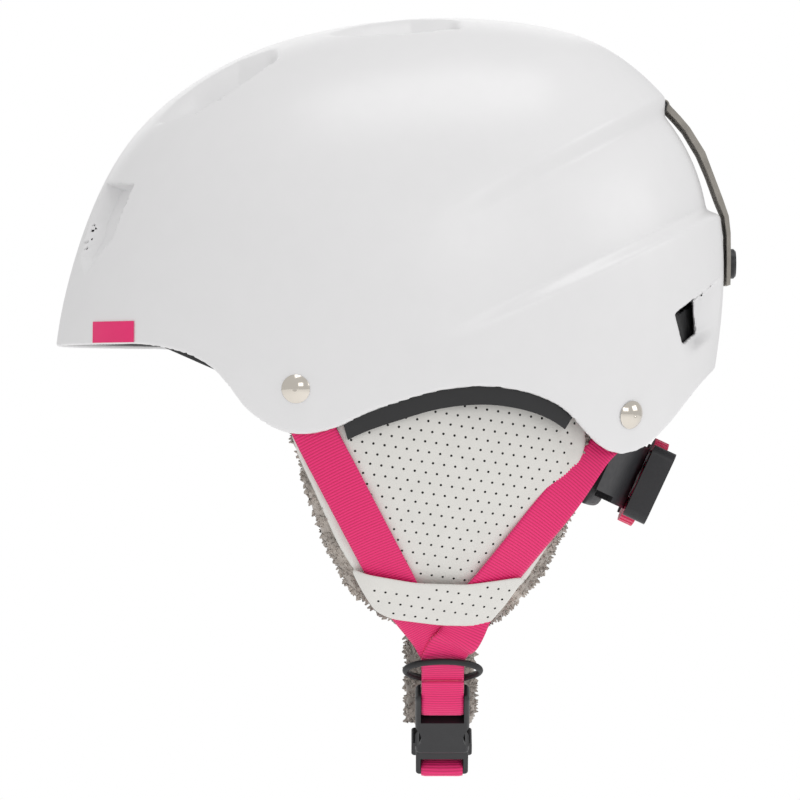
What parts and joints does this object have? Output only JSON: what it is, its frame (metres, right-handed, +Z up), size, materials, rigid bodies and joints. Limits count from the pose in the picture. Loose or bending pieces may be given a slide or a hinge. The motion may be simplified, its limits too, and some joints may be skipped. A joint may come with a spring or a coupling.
{
  "type": "ski helmet",
  "caption": "Hard-shell ski helmet with vents, perforated ear pads, webbing chin strap with side-release buckle, rear fit dial and goggle strap keeper.",
  "frame": {"origin": "head seat: the middle of the helmet between its sides, level with the brow edge", "axes": "+X towards the wearer's left, -Y towards the front, +Z up"},
  "size_m": [0.2118, 0.2812, 0.3136],
  "materials": {
    "shell_white": "satin gloss injection moulding",
    "foam_black": "beaded foam",
    "trim_black": "smooth semi-gloss",
    "rivet_nickel": "polished, warm",
    "washer_steel": "plain",
    "pad_leather": "fine grain, perforated",
    "pad_fleece": "short pile",
    "web_pink": "ribbed webbing",
    "plastic_black": "fine texture",
    "rubber_black": "smooth",
    "dial_pink": "satin",
    "comfort_fabric": "brushed",
    "mesh_black": "moulded net",
    "elastic_grey": "knitted elastic",
    "patch_pink": "printed film",
    "gear_white": "natural acetal"
  },
  "bodies": {
    "helmet": {"band_guide_left": "plastic_black", "band_guide_right": "plastic_black", "brow_pad": "comfort_fabric", "buckle_female": "plastic_black", "chin_webbing_left": "web_pink", "cradle_frame": "plastic_black", "crown_pad": "comfort_fabric", "detent_spring": "washer_steel", "dial_axle": "washer_steel", "ear_pad_cover_left": "pad_leather", "ear_pad_cover_right": "pad_leather", "ear_pad_lining_left": "pad_fleece", "ear_pad_lining_right": "pad_fleece", "ear_pad_loop_left": "pad_leather", "ear_pad_loop_right": "pad_leather", "ear_trim_left": "trim_black", "ear_trim_right": "trim_black", "fit_cover": "plastic_black", "fit_housing": "plastic_black", "front_strap_left": "web_pink", "front_strap_right": "web_pink", "impact_liner": "foam_black", "keeper_anchor": "washer_steel", "nape_pad": "pad_fleece", "outer_shell": "shell_white", "rear_strap_left": "web_pink", "rear_strap_right": "web_pink", "rim_patch": "patch_pink", "rivet_washers": "washer_steel", "side_pad_left": "comfort_fabric", "side_pad_right": "comfort_fabric", "snap_stud": "washer_steel", "strap_rivets": "rivet_nickel", "vent_screen_rear_left": "mesh_black", "vent_screen_rear_right": "mesh_black", "vent_screen_top_front_left": "mesh_black", "vent_screen_top_front_right": "mesh_black", "vent_screen_top_middle_left": "mesh_black", "vent_screen_top_middle_right": "mesh_black"},
    "dial": {"fit_dial": "dial_pink", "dial_pinion": "gear_white"},
    "left_band": {"head_band_left": "plastic_black"},
    "right_band": {"head_band_right": "plastic_black"},
    "keeper": {"goggle_keeper": "elastic_grey", "snap_cap": "plastic_black"},
    "buckle_half": {"buckle_male": "plastic_black", "chin_webbing_right": "web_pink", "strap_slider": "plastic_black", "chin_pad": "pad_fleece"},
    "prong_front": {"buckle_prong_front": "plastic_black"},
    "prong_rear": {"buckle_prong_rear": "plastic_black"},
    "ring": {"keeper_ring": "rubber_black"}
  },
  "joints": [
    {"name": "dial_turn", "type": "hinge", "parent": "helmet", "child": "dial", "pos_m": [0, 0.09762, -0.05297], "axis": [0, 0.9063, -0.4226], "range_deg": [-108, 108]},
    {"name": "left_band_travel", "type": "hinge", "parent": "helmet", "child": "left_band", "pos_m": [0, 0.0267, -0.0199], "axis": [0, 0.4226, 0.9063], "range_deg": [-7, 7]},
    {"name": "right_band_travel", "type": "hinge", "parent": "helmet", "child": "right_band", "pos_m": [0, 0.0267, -0.0199], "axis": [0, 0.4226, 0.9063], "range_deg": [-7, 7]},
    {"name": "keeper_swing", "type": "hinge", "parent": "helmet", "child": "keeper", "pos_m": [0, 0.1122, 0.0997], "axis": [1, 0, 0], "range_deg": [0, 80]},
    {"name": "buckle_release", "type": "slide", "parent": "helmet", "child": "buckle_half", "axis": [-0.6388, 0, -0.7694], "range_m": [0, 0.028]},
    {"name": "rear_prong_squeeze", "type": "hinge", "parent": "buckle_half", "child": "prong_rear", "pos_m": [0.02176, 0.0273, -0.16356], "axis": [0.7694, 0, -0.6388], "range_deg": [0, 8], "stiffness_Nm_per_rad": 0.05},
    {"name": "front_prong_squeeze", "type": "hinge", "parent": "buckle_half", "child": "prong_front", "pos_m": [0.02176, 0.0137, -0.16356], "axis": [-0.7694, 0, 0.6388], "range_deg": [0, 8], "stiffness_Nm_per_rad": 0.05},
    {"name": "ring_slide", "type": "slide", "parent": "helmet", "child": "ring", "axis": [0.6388, 0, 0.7694], "range_m": [0, 0.005]}
  ],
  "couplings": [
    {"joint": "left_band_travel", "follows": "dial_turn", "ratio": -0.063898},
    {"joint": "right_band_travel", "follows": "dial_turn", "ratio": 0.063898}
  ]
}
